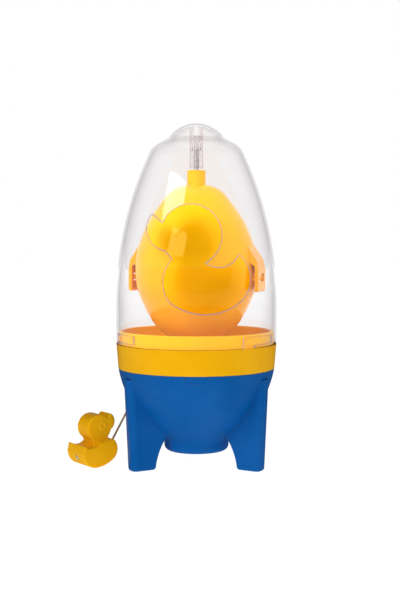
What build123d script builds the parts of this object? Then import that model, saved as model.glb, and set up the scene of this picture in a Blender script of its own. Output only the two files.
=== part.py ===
from build123d import *
import os
from math import asin, cos, pi, radians, sin, sqrt

# Hand-pulled egg spinner shaped like a small rocket. A clear dome stands on a collar with a drip tray,
# the collar stands on a three-legged base, and an egg-shaped holder spins inside the dome. Pulling the
# duck-shaped handle draws the cord off a drum in the base and turns the holder.
#
# Millimetres. The origin is on the spin axis at floor level, +Z is up and the front faces -Y.

# ---------------------------------------------------------------- driving dimensions

# base
CUP_BOTTOM_Z = 8.4
CUP_R = 18.2
CUP_TOP_Z = 15.0
CUP_ROUND = 3.0
RIM_BREAK = 0.35
BOWL_LOW_R = 22.0
BOWL_LOW_Z = 18.6
BOWL_MID_R = 38.3
BOWL_MID_Z = 38.2
SEAM_Z = 54.8
SEAM_R = 43.9
SHELL_WALL = 2.0

# legs
LEG_COUNT = 3
LEG_HALF_WIDTH = 4.4
FOOT_IN_R = 28.4
FOOT_OUT_R = 42.0
FOOT_ROUND = 1.8
LEG_TOP_R = 44.5
LEG_EDGE_ROUND = 3.5
LEG_TOP_Z = 50.4
LEG_WALL = 1.8
NOTCH_DEPTH = 1.2

# collar and drip tray
LEDGE_Z = 68.6
BODY_R = 45.0
SPIGOT_R = 42.75
SPIGOT_TOP_Z = 75.9
TRAY_R = 41.2
TRAY_FLOOR_Z = 59.5
TRAY_UNDER_Z = 57.5
SKIRT_IN_R = 39.2
SKIRT_OUT_R = 40.8
SKIRT_LOW_Z = 51.8
HUB_R = 7.0
HUB_LOW_Z = 52.0
HUB_TOP_Z = 61.0

# bayonet: three lugs on the spigot, three L-shaped grooves inside the cover
LUG_COUNT = 3
LUG_ANGLE = -49.5
LUG_ARC = 7.0
LUG_R = 43.7
LUG_LOW_Z = 70.6
LUG_TOP_Z = 73.4
GROOVE_R = 44.0
GROOVE_ENTRY_ARC = 11.0
GROOVE_LAND_ARC = 35.0
GROOVE_LOW_Z = 70.2
GROOVE_TOP_Z = 74.6

# clear cover
COVER_IN_R = 43.05
COVER_WALL = 1.95
SIDE_START_Z = 92.0
SIDE_ARC_R = 192.8
SHOULDER_Z = 178.4
SHOULDER_FILLET = 9.3
NOSE_BASE_R = 15.8
NOSE_BASE_Z = 183.15
NOSE_TOP_Z = 191.5
BOSS_R = 3.7
BOSS_LOW_Z = 166.8
BOSS_BORE_TOP_Z = 184.0
WEB_THICKNESS = 2.0
WINDOW_RIM = 0.5
WEB_HALF_WIDTH = 17.0
WEB_LOW_Z = 175.8

# egg holder
EQUATOR_Z = 112.2
HOLDER_R = 34.3
HOLDER_WALL = 2.0
LOWER_HALF_LENGTH = 45.0
UPPER_HALF_LENGTH = 45.6
NECK_R = 5.2
NECK_TOP_Z = 165.3
PIN_R = 1.5
PIN_TOP_Z = 178.4
PIN_LOW_Z = 155.5
CROWN_INNER_Z = 152.8
FLOOR_INNER_Z = 71.2
SOCKET_R = 9.0
SOCKET_LOW_Z = 64.5
EGG_R = 23.5
EGG_HALF_LENGTH = 31.0

# latch arms
ARM_WIDTH = 16.0
ARM_OUT_R = 37.9
ARM_IN_R = 35.9
ARM_LOW_Z = 98.0
ARM_SHOULDER_Z = 112.0
ARM_ROOT_Z = 126.5
ARM_ANGLE = -18.0
WINDOW_WIDTH = 10.0
WINDOW_LOW_Z = 103.8
WINDOW_TOP_Z = 108.0
NIB_CLEARANCE = 0.6

# spindle stack
SPINDLE_R = 2.0
RUNNING_CLEARANCE = 0.05
BUSH_R = 4.0
SPINDLE_LOW_Z = 12.2
SPINDLE_TOP_Z = 67.5
LOWER_BUSH_TOP_Z = 19.0
WASHER_THICKNESS = 0.6
UPPER_BUSH_TOP_Z = 61.8
COUPLER_DISC_TOP_Z = 64.5
HEX_TOP_Z = 68.5
HEX_ACROSS_CORNERS = 11.4

# cord drum
DRUM_HUB_R = 7.0
DRUM_FLANGE_R = 18.0
DRUM_LOW_Z = 26.5
DRUM_FLANGE_THICKNESS = 2.0
DRUM_HUB_TOP_Z = 42.0
CORD_R = 0.65
DRUM_BOSS_R = 4.6
DRUM_HOLE_COUNT = 6
DRUM_HOLE_CIRCLE_R = 12.5
DRUM_HOLE_R = 2.4
ANCHOR_CIRCLE_R = 9.4
ANCHOR_ANGLE = 30.0
ANCHOR_HOLE_R = 0.8
ANCHOR_KNOT_R = 1.5

# screws between the collar and the base
SCREW_COUNT = 3
SCREW_CIRCLE_R = 27.0
SCREW_START_ANGLE = -122.0
SCREW_R = 1.5
SCREW_PILOT_R = 1.3
SCREW_HEAD_R = 2.8
SCREW_HEAD_HEIGHT = 2.0
POST_R = 3.6
POST_TOP_Z = 54.0
SCREW_LOW_Z = 44.0

# cord outlet: the eyelet stands square to the bowl's wall, at the back on the left
EYELET_ANGLE = 149.0
EYELET_Z = 39.0
EYELET_WALL_R = 38.75
EYELET_DROOP = 31.0
EYELET_R = 2.6
EYELET_BORE_R = 1.1
EYELET_FLANGE_R = 4.2
EYELET_DEPTH = 3.0

# pull handle: a flat duck standing on the floor beside the base, turned away from the front
HANDLE_X = -61.8
HANDLE_Y = -5.4
HANDLE_TURN = 36.0
HANDLE_BODY_THICKNESS = 19.2
HANDLE_HEAD_THICKNESS = 12.0
HANDLE_HEAD_R = 7.55
HANDLE_BORE_R = 1.1
KNOT_R = 1.65
KNOT_LENGTH = 2.6
KNOT_POCKET_R = 1.85
KNOT_POCKET_DEPTH = 3.4
EYE_RING_R = 2.1
EYE_CENTRE_R = 1.2
EYE_RELIEF = 0.35

# free cord
LIP_REACH = 2.6
LIP_BEND_R = 2.0
BREAST_BEND_R = 4.0

os.makedirs("parts", exist_ok=True)


# ---------------------------------------------------------------- helpers


def upright_plane(angle):
    """The plane through the Z axis whose x is the radius at angle, from +X, and whose y is the height."""
    a = radians(angle)
    return Plane(origin=(0, 0, 0), x_dir=(cos(a), sin(a), 0), z_dir=(sin(a), -cos(a), 0))


def ring_sector(inner_r, outer_r, low_z, top_z, start, arc):
    """Part of a ring about the Z axis, from the angle start through arc degrees."""
    with BuildPart() as sector:
        with BuildSketch(upright_plane(start)):
            with BuildLine():
                Polyline((inner_r, low_z), (outer_r, low_z), (outer_r, top_z), (inner_r, top_z), close=True)
            make_face()
        revolve(axis=Axis.Z, revolution_arc=arc)
    return sector.part


def ring(inner_r, outer_r, low_z, top_z):
    """A plain ring about the Z axis."""
    with BuildPart() as tube:
        with BuildSketch(Plane.XY.offset(low_z)):
            Circle(outer_r)
            Circle(inner_r, mode=Mode.SUBTRACT)
        extrude(amount=top_z - low_z)
    return tube.part


def seam_break():
    """A ring of three-cornered section that breaks the bowl's top edge along the seam."""
    with BuildPart() as wedge:
        with BuildSketch(Plane.XZ):
            with BuildLine():
                Polyline(
                    (SEAM_R - RIM_BREAK, SEAM_Z + 0.1),
                    (SEAM_R + 1, SEAM_Z + 0.1),
                    (SEAM_R + 1, SEAM_Z - RIM_BREAK - 1.3),
                    close=True,
                )
            make_face()
        revolve(axis=Axis.Z)
    return wedge.part


def bowl(inset):
    """The bowl with its cup, solid from the axis out, drawn in by inset all round."""
    low = (BOWL_LOW_R - inset, BOWL_LOW_Z + 0.6 * inset)
    middle = (BOWL_MID_R - 0.85 * inset, BOWL_MID_Z + 0.45 * inset)
    rim = (SEAM_R - inset, SEAM_Z)
    cup_r = CUP_R - inset
    with BuildPart() as body:
        with BuildSketch(Plane.XZ) as section:
            with BuildLine():
                floor = Line((0, CUP_BOTTOM_Z + inset), (cup_r, CUP_BOTTOM_Z + inset))
                side = Line(floor @ 1, (cup_r, CUP_TOP_Z))
                flare = Line(side @ 1, low)
                wall = ThreePointArc(flare @ 1, middle, rim)
                lid = Line(wall @ 1, (0, SEAM_Z))
                Line(lid @ 1, floor @ 0)
            make_face()
            cup_corners = section.vertices().filter_by(lambda v: v.Y < CUP_TOP_Z + 0.1 and v.X > 1)
            fillet(cup_corners, radius=CUP_ROUND - inset / 2)
        revolve(axis=Axis.Z)
    return body.part


def leg(inset):
    """One leg along +X, drawn in by inset; its foot stands on the floor when inset is 0."""
    half_width = LEG_HALF_WIDTH - inset
    with BuildPart() as fin:
        with BuildSketch(Plane.XZ):
            with BuildLine():
                sole = Line((FOOT_IN_R + inset, inset), (FOOT_OUT_R - inset, inset))
                outer = Line(sole @ 1, (LEG_TOP_R - inset, LEG_TOP_Z - inset))
                top = Line(outer @ 1, (CUP_R + 9, LEG_TOP_Z - inset))
                root = Line(top @ 1, (CUP_R - 0.5 + inset, BOWL_LOW_Z + 2 + inset))
                throat = Line(root @ 1, (CUP_R + 2.6 + inset, BOWL_LOW_Z + inset))
                ThreePointArc(throat @ 1, (FOOT_IN_R - 1.9 + inset, 8.6 + inset), sole @ 0)
            make_face()
        extrude(amount=half_width, both=True)
        outer_edges = fin.edges().filter_by(lambda e: abs(e.center().X - (FOOT_OUT_R + LEG_TOP_R) / 2) < 3)
        outer_edges = outer_edges.filter_by(lambda e: abs(abs(e.center().Y) - half_width) < 0.01)
        fillet(outer_edges.filter_by(lambda e: e.length > 20), radius=LEG_EDGE_ROUND - 0.8 * inset)
        fillet(fin.faces().sort_by(Axis.Z)[0].edges(), radius=FOOT_ROUND - 0.8 * inset)
    return fin.part


def cover_form(inset):
    """The dome, solid from the axis out, drawn in by inset all round; the skirt is open at the bottom."""
    side_r = SIDE_ARC_R - inset
    centre_r = BODY_R - SIDE_ARC_R
    top_z = SHOULDER_Z - inset
    top_r = centre_r + sqrt(side_r**2 - (top_z - SIDE_START_Z) ** 2)
    half_z = (SIDE_START_Z + top_z) / 2
    half_r = centre_r + sqrt(side_r**2 - (half_z - SIDE_START_Z) ** 2)
    nose_r = NOSE_BASE_R - inset
    nose_low_z = NOSE_BASE_Z - inset
    nose_top_z = NOSE_TOP_Z - inset
    nose_height = nose_top_z - nose_low_z
    nose_sphere_r = (nose_r**2 + nose_height**2) / (2 * nose_height)
    nose_half_r = nose_r / 2
    nose_half_z = nose_top_z - nose_sphere_r + sqrt(nose_sphere_r**2 - nose_half_r**2)
    with BuildPart() as dome:
        with BuildSketch(Plane.XZ) as section:
            with BuildLine():
                foot = Line((0, LEDGE_Z), (BODY_R - inset, LEDGE_Z))
                skirt = Line(foot @ 1, (BODY_R - inset, SIDE_START_Z))
                side = ThreePointArc(skirt @ 1, (half_r, half_z), (top_r, top_z))
                shoulder = Line(side @ 1, (nose_r, nose_low_z))
                nose = ThreePointArc(shoulder @ 1, (nose_half_r, nose_half_z), (0, nose_top_z))
                Line(nose @ 1, foot @ 0)
            make_face()
            corner = section.vertices().filter_by(lambda v: abs(v.X - top_r) < 0.01 and v.Y > LEDGE_Z + 1)
            fillet(corner, radius=SHOULDER_FILLET - inset / 2)
        revolve(axis=Axis.Z)
    return dome.part


def lower_egg(scale, floor_z=0.0):
    """The egg shape below the holder's equator, solid, scaled about its centre and cut flat at floor_z."""
    flanks = [(HOLDER_R * sin(a), LOWER_HALF_LENGTH * cos(a)) for a in (pi / 8, pi / 4, 3 * pi / 8)]
    flank_points = [(r * scale, EQUATOR_Z - h * scale) for r, h in flanks]
    with BuildPart() as form:
        with BuildSketch(Plane.XZ):
            with BuildLine():
                pole = (0, EQUATOR_Z - LOWER_HALF_LENGTH * scale)
                equator = (HOLDER_R * scale, EQUATOR_Z)
                Spline(pole, *flank_points, equator, tangents=[(1, 0), (0, 1)])
                lid = Line(equator, (0, EQUATOR_Z))
                Line(lid @ 1, pole)
            make_face()
        revolve(axis=Axis.Z)
        if floor_z > EQUATOR_Z - LOWER_HALF_LENGTH * scale:
            split(bisect_by=Plane.XY.offset(floor_z), keep=Keep.TOP)
    return form.part


def upper_egg(scale, crown_z=300.0):
    """The more pointed egg shape above the equator, solid, scaled about its centre, cut flat at crown_z."""
    flanks = [(31.1, 14.9), (26.1, 26.0), (19.6, 35.4)]
    flank_points = [(r * scale, EQUATOR_Z + h * scale) for r, h in flanks]
    with BuildPart() as form:
        with BuildSketch(Plane.XZ):
            with BuildLine():
                equator = (HOLDER_R * scale, EQUATOR_Z)
                crown = (0, EQUATOR_Z + UPPER_HALF_LENGTH * scale)
                Spline(equator, *flank_points, crown, tangents=[(0, 1), (-1, 0)])
                axis_line = Line(crown, (0, EQUATOR_Z))
                Line(axis_line @ 1, equator)
            make_face()
        revolve(axis=Axis.Z)
        if crown_z < EQUATOR_Z + UPPER_HALF_LENGTH * scale:
            split(bisect_by=Plane.XY.offset(crown_z), keep=Keep.BOTTOM)
    return form.part


def egg_cavity():
    """The space for the egg inside the two liners."""
    low = (0, EQUATOR_Z - EGG_HALF_LENGTH)
    top = (0, EQUATOR_Z + EGG_HALF_LENGTH)
    flanks = [(EGG_R * sin(a), EQUATOR_Z - EGG_HALF_LENGTH * cos(a)) for a in (pi / 4, pi / 2, 3 * pi / 4)]
    with BuildPart() as cavity:
        with BuildSketch(Plane.XZ):
            with BuildLine():
                Spline(low, *flanks, top, tangents=[(1, 0), (-1, 0)])
                Line(top, low)
            make_face()
        revolve(axis=Axis.Z)
    return cavity.part


def on_outer_face(edge):
    """True for an edge of the duck window that lies on the cover's outer face."""
    point = edge @ 0.5
    outer_r = BODY_R - SIDE_ARC_R + sqrt(SIDE_ARC_R**2 - max(point.Z - SIDE_START_Z, 0) ** 2)
    return point.Y < 0 and abs(Vector(point.X, point.Y, 0).length - outer_r) < 0.05


def cover_web():
    """The upright plate under the nose, from wall to wall, which stiffens the boss."""
    with BuildPart() as web:
        with BuildSketch(Plane.YZ):
            with BuildLine():
                Polyline(
                    (-WEB_HALF_WIDTH, SHOULDER_Z),
                    (0, WEB_LOW_Z),
                    (WEB_HALF_WIDTH, SHOULDER_Z),
                    (WEB_HALF_WIDTH, NOSE_TOP_Z),
                    (-WEB_HALF_WIDTH, NOSE_TOP_Z),
                    close=True,
                )
            make_face()
        extrude(amount=WEB_THICKNESS / 2, both=True)
        add(cover_form(COVER_WALL / 2), mode=Mode.INTERSECT)
    return web.part


def duck_window():
    """The duck-shaped hole in the front of the cover, facing -X, as a prism along -Y."""
    with BuildPart() as window:
        with BuildSketch(Plane.XZ.offset(20)):
            with BuildLine():
                neck_front = (-12.2, 116.2)
                bill_low = (-16.4, 121.0)
                bill_tip = (-23.5, 139.9)
                bill_notch = (-17.8, 135.0)
                neck_back = (4.4, 114.4)
                tail_tip = (22.7, 118.4)
                Line(neck_front, bill_low)
                ThreePointArc(bill_low, (-25.8, 129.0), bill_tip)
                Line(bill_tip, bill_notch)
                ThreePointArc(bill_notch, (8.5, 140.4), neck_back)
                ThreePointArc(neck_back, (14.6, 111.9), tail_tip)
                ThreePointArc(tail_tip, (28.7, 105.9), (22.5, 93.2))
                ThreePointArc((22.5, 93.2), (3.6, 87.6), (-13.9, 94.0))
                ThreePointArc((-13.9, 94.0), (-17.3, 104.0), neck_front)
            make_face()
        extrude(amount=2 * BODY_R)
    return window.part


# ---------------------------------------------------------------- base body

bowl_outer = bowl(0)
bowl_inner = bowl(SHELL_WALL)
leg_outer = leg(0)
leg_inner = leg(LEG_WALL)
eyelet_out = Vector(cos(radians(EYELET_ANGLE)), sin(radians(EYELET_ANGLE)), 0)
eyelet_axis = eyelet_out * cos(radians(EYELET_DROOP)) - Vector(0, 0, sin(radians(EYELET_DROOP)))
eyelet_seat = eyelet_out * EYELET_WALL_R + Vector(0, 0, EYELET_Z)
eyelet_plane = Plane(origin=eyelet_seat, z_dir=eyelet_axis)

with BuildPart() as base_shell:
    add(bowl_outer)
    with PolarLocations(0, LEG_COUNT, start_angle=90):
        add(leg_outer)
    add(bowl_inner, mode=Mode.SUBTRACT)
    with PolarLocations(0, LEG_COUNT, start_angle=90):
        add(leg_inner, mode=Mode.SUBTRACT)
    # seat of the lower bush, standing in the cup
    with BuildSketch(Plane.XY.offset(CUP_BOTTOM_Z + SHELL_WALL / 2)):
        Circle(BUSH_R + 2.2)
    extrude(amount=LOWER_BUSH_TOP_Z - CUP_BOTTOM_Z - SHELL_WALL / 2)
    with BuildSketch(Plane.XY.offset(CUP_BOTTOM_Z + SHELL_WALL)):
        Circle(BUSH_R)
    extrude(amount=LOWER_BUSH_TOP_Z, mode=Mode.SUBTRACT)
    # posts for the case screws
    with BuildSketch(Plane.XY.offset(BOWL_LOW_Z + 8)):
        with PolarLocations(SCREW_CIRCLE_R, SCREW_COUNT, start_angle=SCREW_START_ANGLE):
            Circle(POST_R)
    extrude(amount=POST_TOP_Z - BOWL_LOW_Z - 8)
    with BuildSketch(Plane.XY.offset(SCREW_LOW_Z - 1)):
        with PolarLocations(SCREW_CIRCLE_R, SCREW_COUNT, start_angle=SCREW_START_ANGLE):
            Circle(SCREW_PILOT_R)
    extrude(amount=POST_TOP_Z, mode=Mode.SUBTRACT)
    # hole for the cord eyelet
    with BuildSketch(eyelet_plane.offset(-6)):
        Circle(EYELET_R)
    extrude(amount=12, mode=Mode.SUBTRACT)
    # shallow pry notch under the seam at the front
    with BuildSketch(Plane.XZ.offset(SEAM_R - NOTCH_DEPTH)):
        with Locations((0.3, SEAM_Z - 2.0)):
            RectangleRounded(13.0, 4.4, 0.5)
    extrude(amount=5, mode=Mode.SUBTRACT)
    # broken edge along the seam
    add(seam_break(), mode=Mode.SUBTRACT)
base_shell.part.label = "base_shell"
export_step(base_shell.part, "parts/base_shell.step")

with BuildPart() as collar_tray:
    with BuildSketch(Plane.XZ) as tray_section:
        with BuildLine():
            Polyline(
                (BUSH_R, HUB_LOW_Z),
                (HUB_R, HUB_LOW_Z),
                (HUB_R, TRAY_UNDER_Z),
                (SKIRT_IN_R, TRAY_UNDER_Z),
                (SKIRT_IN_R, SKIRT_LOW_Z),
                (SKIRT_OUT_R, SKIRT_LOW_Z),
                (SKIRT_OUT_R, SEAM_Z),
                (SEAM_R - RIM_BREAK, SEAM_Z),
                (SEAM_R + 0.02, SEAM_Z + RIM_BREAK),
                (BODY_R, LEDGE_Z),
                (SPIGOT_R, LEDGE_Z),
                (SPIGOT_R, SPIGOT_TOP_Z),
                (TRAY_R, SPIGOT_TOP_Z),
                (TRAY_R, TRAY_FLOOR_Z),
                (HUB_R, TRAY_FLOOR_Z),
                (HUB_R, HUB_TOP_Z),
                (BUSH_R, HUB_TOP_Z),
                close=True,
            )
        make_face()
        tray_corner = tray_section.vertices().filter_by(
            lambda v: abs(v.X - TRAY_R) < 0.01 and abs(v.Y - TRAY_FLOOR_Z) < 0.01
        )
        fillet(tray_corner, radius=3)
        rim_corners = tray_section.vertices().filter_by(lambda v: abs(v.Y - SPIGOT_TOP_Z) < 0.01)
        fillet(rim_corners, radius=0.6)
    revolve(axis=Axis.Z)
    with PolarLocations(0, LUG_COUNT):
        add(ring_sector(SPIGOT_R - 0.4, LUG_R, LUG_LOW_Z, LUG_TOP_Z, LUG_ANGLE - LUG_ARC / 2, LUG_ARC))
    # bosses under the floor that stand on the base's posts, with counterbored screw holes
    with BuildSketch(Plane.XY.offset(POST_TOP_Z)):
        with PolarLocations(SCREW_CIRCLE_R, SCREW_COUNT, start_angle=SCREW_START_ANGLE):
            Circle(POST_R + 0.4)
    extrude(amount=TRAY_UNDER_Z - POST_TOP_Z + 1)
    with BuildSketch(Plane.XY.offset(POST_TOP_Z - 1)):
        with PolarLocations(SCREW_CIRCLE_R, SCREW_COUNT, start_angle=SCREW_START_ANGLE):
            Circle(SCREW_R + 0.1)
    extrude(amount=10, mode=Mode.SUBTRACT)
    with BuildSketch(Plane.XY.offset(TRAY_FLOOR_Z - SCREW_HEAD_HEIGHT)):
        with PolarLocations(SCREW_CIRCLE_R, SCREW_COUNT, start_angle=SCREW_START_ANGLE):
            Circle(SCREW_HEAD_R + 0.2)
    extrude(amount=10, mode=Mode.SUBTRACT)
collar_tray.part.label = "collar_tray"
export_step(collar_tray.part, "parts/collar_tray.step")

with BuildPart() as case_screws:
    with BuildSketch(Plane.XY.offset(SCREW_LOW_Z)):
        with PolarLocations(SCREW_CIRCLE_R, SCREW_COUNT, start_angle=SCREW_START_ANGLE):
            Circle(SCREW_R)
    extrude(amount=TRAY_FLOOR_Z - SCREW_HEAD_HEIGHT - SCREW_LOW_Z)
    with BuildSketch(Plane.XY.offset(TRAY_FLOOR_Z - SCREW_HEAD_HEIGHT)):
        with PolarLocations(SCREW_CIRCLE_R, SCREW_COUNT, start_angle=SCREW_START_ANGLE):
            Circle(SCREW_HEAD_R)
    extrude(amount=SCREW_HEAD_HEIGHT)
    # cross recesses in the heads
    with BuildSketch(Plane.XY.offset(TRAY_FLOOR_Z - 1.1)):
        with PolarLocations(SCREW_CIRCLE_R, SCREW_COUNT, start_angle=SCREW_START_ANGLE):
            Rectangle(3.0, 0.7)
            Rectangle(0.7, 3.0)
    extrude(amount=2, mode=Mode.SUBTRACT)
case_screws.part.label = "case_screws"
export_step(case_screws.part, "parts/case_screws.step")

with BuildPart() as lower_bush:
    add(ring(SPINDLE_R + RUNNING_CLEARANCE, BUSH_R, SPINDLE_LOW_Z, LOWER_BUSH_TOP_Z))
lower_bush.part.label = "lower_bush"
export_step(lower_bush.part, "parts/lower_bush.step")

with BuildPart() as thrust_disc:
    with BuildSketch(Plane.XY.offset(CUP_BOTTOM_Z + SHELL_WALL)):
        Circle(BUSH_R - 0.1)
    extrude(amount=SPINDLE_LOW_Z - CUP_BOTTOM_Z - SHELL_WALL)
thrust_disc.part.label = "thrust_disc"
export_step(thrust_disc.part, "parts/thrust_disc.step")

with BuildPart() as upper_bush:
    add(ring(SPINDLE_R + RUNNING_CLEARANCE, BUSH_R, HUB_LOW_Z, UPPER_BUSH_TOP_Z))
    add(ring(BUSH_R - 0.5, HUB_R - 1.0, HUB_TOP_Z, UPPER_BUSH_TOP_Z))
upper_bush.part.label = "upper_bush"
export_step(upper_bush.part, "parts/upper_bush.step")

with BuildPart() as cord_eyelet:
    with BuildSketch(eyelet_plane.offset(-EYELET_DEPTH)):
        Circle(EYELET_R)
    extrude(amount=EYELET_DEPTH + 0.3)
    with BuildSketch(eyelet_plane.offset(0.15)):
        Circle(EYELET_FLANGE_R)
    extrude(amount=1.3)
    with BuildSketch(eyelet_plane.offset(-5)):
        Circle(EYELET_BORE_R)
    extrude(amount=8, mode=Mode.SUBTRACT)
    fillet(cord_eyelet.faces().sort_by(Axis(eyelet_seat, eyelet_axis))[-1].edges(), radius=0.6)
cord_eyelet.part.label = "cord_eyelet"
export_step(cord_eyelet.part, "parts/cord_eyelet.step")

# ---------------------------------------------------------------- rotor body

with BuildPart() as spindle:
    with BuildSketch(Plane.XY.offset(SPINDLE_LOW_Z)):
        Circle(SPINDLE_R)
    extrude(amount=SPINDLE_TOP_Z - SPINDLE_LOW_Z)
    chamfer(spindle.edges().filter_by(GeomType.CIRCLE), length=0.3)
spindle.part.label = "spindle"
export_step(spindle.part, "parts/spindle.step")

with BuildPart() as lower_washer:
    add(ring(SPINDLE_R + 0.1, BUSH_R + 0.8, LOWER_BUSH_TOP_Z, LOWER_BUSH_TOP_Z + WASHER_THICKNESS))
lower_washer.part.label = "lower_washer"
export_step(lower_washer.part, "parts/lower_washer.step")

hub_low_z = LOWER_BUSH_TOP_Z + WASHER_THICKNESS
with BuildPart() as cord_drum:
    add(ring(SPINDLE_R, DRUM_BOSS_R, hub_low_z, DRUM_LOW_Z + 1))
    add(ring(SPINDLE_R, DRUM_FLANGE_R, DRUM_LOW_Z, DRUM_LOW_Z + DRUM_FLANGE_THICKNESS))
    add(ring(SPINDLE_R, DRUM_HUB_R, DRUM_LOW_Z, DRUM_HUB_TOP_Z))
    # lightening holes through the flange; the cord's inner end is knotted under one of them
    with BuildSketch(Plane.XY.offset(DRUM_LOW_Z - 1)):
        with PolarLocations(DRUM_HOLE_CIRCLE_R, DRUM_HOLE_COUNT):
            Circle(DRUM_HOLE_R)
        with PolarLocations(ANCHOR_CIRCLE_R, 1, start_angle=ANCHOR_ANGLE):
            Circle(ANCHOR_HOLE_R)
    extrude(amount=DRUM_FLANGE_THICKNESS + 2, mode=Mode.SUBTRACT)
cord_drum.part.label = "cord_drum"
export_step(cord_drum.part, "parts/cord_drum.step")

drum_cap_top_z = DRUM_HUB_TOP_Z + DRUM_FLANGE_THICKNESS
with BuildPart() as drum_cap:
    add(ring(SPINDLE_R, DRUM_FLANGE_R, DRUM_HUB_TOP_Z, drum_cap_top_z))
    add(ring(SPINDLE_R, DRUM_BOSS_R, DRUM_HUB_TOP_Z + 1, drum_cap_top_z + 2.5))
    with BuildSketch(Plane.XY.offset(DRUM_HUB_TOP_Z - 1)):
        with PolarLocations(DRUM_HOLE_CIRCLE_R, DRUM_HOLE_COUNT, start_angle=30):
            Circle(DRUM_HOLE_R)
    extrude(amount=DRUM_FLANGE_THICKNESS + 2, mode=Mode.SUBTRACT)
drum_cap.part.label = "drum_cap"
export_step(drum_cap.part, "parts/drum_cap.step")

winding_low_z = DRUM_LOW_Z + DRUM_FLANGE_THICKNESS
with BuildPart() as cord_winding:
    add(ring(DRUM_HUB_R, DRUM_HUB_R + 2 * CORD_R, winding_low_z, DRUM_HUB_TOP_Z - 0.2))
cord_winding.part.label = "cord_winding"
export_step(cord_winding.part, "parts/cord_winding.step")

with BuildPart() as anchor_knot:
    with PolarLocations(ANCHOR_CIRCLE_R, 1, start_angle=ANCHOR_ANGLE):
        with Locations((0, 0, DRUM_LOW_Z - 1.2)):
            Sphere(ANCHOR_KNOT_R)
    split(bisect_by=Plane.XY.offset(DRUM_LOW_Z), keep=Keep.BOTTOM)
anchor_knot.part.label = "anchor_knot"
export_step(anchor_knot.part, "parts/anchor_knot.step")

with BuildPart() as retaining_clip:
    add(ring_sector(SPINDLE_R, SPINDLE_R + 2.4, HUB_LOW_Z - 1.2, HUB_LOW_Z - 0.4, 40, 280))
retaining_clip.part.label = "retaining_clip"
export_step(retaining_clip.part, "parts/retaining_clip.step")

with BuildPart() as upper_washer:
    add(ring(SPINDLE_R + 0.1, HUB_R - 1.6, UPPER_BUSH_TOP_Z, UPPER_BUSH_TOP_Z + WASHER_THICKNESS))
upper_washer.part.label = "upper_washer"
export_step(upper_washer.part, "parts/upper_washer.step")

coupler_low_z = UPPER_BUSH_TOP_Z + WASHER_THICKNESS
with BuildPart() as drive_coupler:
    with BuildSketch(Plane.XY.offset(coupler_low_z)):
        Circle(SOCKET_R + 2)
    extrude(amount=COUPLER_DISC_TOP_Z - coupler_low_z)
    with BuildSketch(Plane.XY.offset(COUPLER_DISC_TOP_Z)):
        RegularPolygon(HEX_ACROSS_CORNERS / 2, 6)
    extrude(amount=HEX_TOP_Z - COUPLER_DISC_TOP_Z)
    with BuildSketch(Plane.XY.offset(coupler_low_z)):
        Circle(SPINDLE_R)
    extrude(amount=SPINDLE_TOP_Z - coupler_low_z, mode=Mode.SUBTRACT)
drive_coupler.part.label = "drive_coupler"
export_step(drive_coupler.part, "parts/drive_coupler.step")

inner_scale = (HOLDER_R - HOLDER_WALL) / HOLDER_R
liner_scale = (HOLDER_R - HOLDER_WALL - 0.1) / HOLDER_R
egg_space = egg_cavity()
nib_height = WINDOW_TOP_Z - WINDOW_LOW_Z - 2 * NIB_CLEARANCE
nib_z = (WINDOW_TOP_Z + WINDOW_LOW_Z) / 2

with BuildPart() as holder_bottom:
    add(lower_egg(1.0))
    # socket boss that sits on the drive coupler
    with BuildSketch(Plane.XY.offset(SOCKET_LOW_Z)):
        Circle(SOCKET_R)
    extrude(amount=FLOOR_INNER_Z - SOCKET_LOW_Z - 0.5)
    # catch nibs for the latch arms
    for side in (0, 180):
        with BuildSketch(upright_plane(ARM_ANGLE + side)):
            with BuildLine():
                Polyline(
                    (HOLDER_R - 2.2, nib_z - nib_height / 2),
                    (ARM_OUT_R - 1.3, nib_z - nib_height / 2),
                    (ARM_OUT_R - 0.5, nib_z + nib_height / 2),
                    (HOLDER_R - 2.2, nib_z + nib_height / 2),
                    close=True,
                )
            make_face()
        extrude(amount=WINDOW_WIDTH / 2 - NIB_CLEARANCE, both=True)
    add(lower_egg(inner_scale, FLOOR_INNER_Z), mode=Mode.SUBTRACT)
    with BuildSketch(Plane.XY.offset(SOCKET_LOW_Z)):
        RegularPolygon(HEX_ACROSS_CORNERS / 2 + 0.12, 6)
    extrude(amount=HEX_TOP_Z - SOCKET_LOW_Z + 0.2, mode=Mode.SUBTRACT)
    # tongue that locates the upper half
    add(ring(HOLDER_R - HOLDER_WALL, HOLDER_R - 1.1, EQUATOR_Z - 1.5, EQUATOR_Z + 1.5))
holder_bottom.part.label = "holder_bottom"
export_step(holder_bottom.part, "parts/holder_bottom.step")

with BuildPart() as liner_bottom:
    add(lower_egg(liner_scale, FLOOR_INNER_Z))
    add(egg_space, mode=Mode.SUBTRACT)
liner_bottom.part.label = "liner_bottom"
export_step(liner_bottom.part, "parts/liner_bottom.step")

# ---------------------------------------------------------------- holder lid body

with BuildPart() as holder_top:
    add(upper_egg(1.0))
    with BuildSketch(Plane.XY.offset(EQUATOR_Z + 40)):
        Circle(NECK_R)
    extrude(amount=NECK_TOP_Z - EQUATOR_Z - 40)
    add(upper_egg(inner_scale, CROWN_INNER_Z), mode=Mode.SUBTRACT)
    # groove for the lower half's tongue
    add(ring(HOLDER_R - HOLDER_WALL - 1, HOLDER_R - 1.0, EQUATOR_Z - 1, EQUATOR_Z + 1.7), mode=Mode.SUBTRACT)
    with BuildSketch(Plane.XY.offset(PIN_LOW_Z)):
        Circle(PIN_R)
    extrude(amount=40, mode=Mode.SUBTRACT)
holder_top.part.label = "holder_top"
export_step(holder_top.part, "parts/holder_top.step")

with BuildPart() as liner_top:
    add(upper_egg(liner_scale, CROWN_INNER_Z))
    add(egg_space, mode=Mode.SUBTRACT)
liner_top.part.label = "liner_top"
export_step(liner_top.part, "parts/liner_top.step")

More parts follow.
